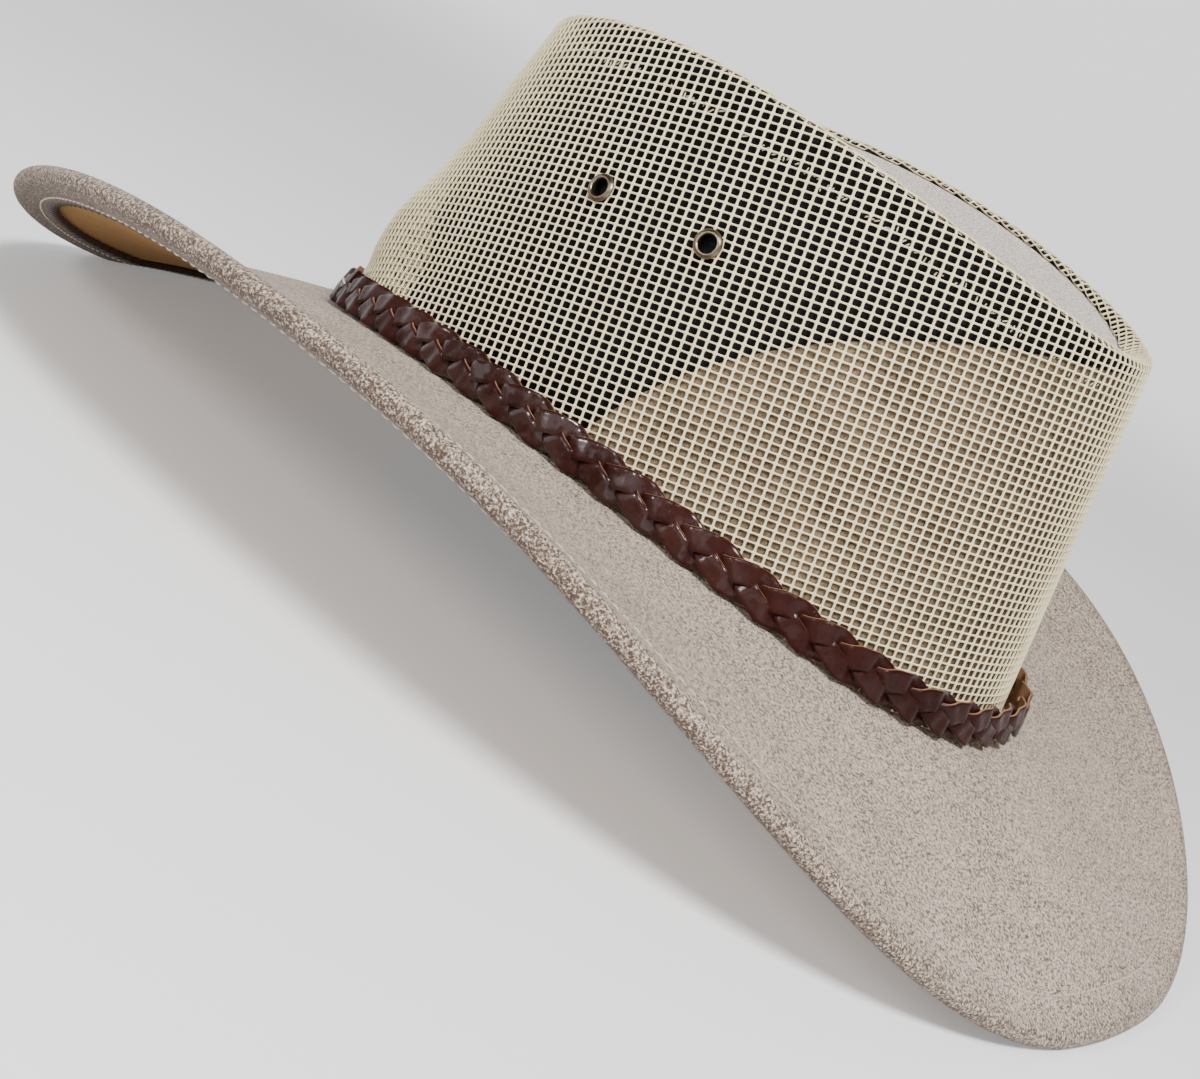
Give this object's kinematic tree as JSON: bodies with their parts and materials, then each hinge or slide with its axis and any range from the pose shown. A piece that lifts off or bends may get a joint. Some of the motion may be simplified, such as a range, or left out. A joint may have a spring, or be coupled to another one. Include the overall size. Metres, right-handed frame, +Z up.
{
  "type": "outback hat",
  "caption": "Outback hat with an open-net crown, a dished suede top, a wide suede brim that dips front and back, a plaited leather band and side eyelets, resting on its brim",
  "frame": {"origin": "on the floor under the middle of the hat's bounding box", "axes": "+X to the front of the hat, +Y to the wearer's left, +Z up"},
  "size_m": [0.3678, 0.3354, 0.1447],
  "materials": {
    "taupe_suede": "napped suede",
    "tan_facing": "matt",
    "ivory_net": "coated yarn",
    "cream_backing": "matt",
    "black_lining": "matt",
    "maroon_leather": "satin",
    "aged_brass": "antique"
  },
  "bodies": {
    "root": {"brim": "taupe_suede", "brim_facing": "tan_facing", "crown_net": "ivory_net", "crown_top": "taupe_suede", "crown_lining": "black_lining", "front_stiffener": "cream_backing", "hat_band": "maroon_leather", "eyelet_right_front": "aged_brass", "eyelet_right_back": "aged_brass", "eyelet_left_front": "aged_brass", "eyelet_left_back": "aged_brass"}
  },
  "joints": []
}
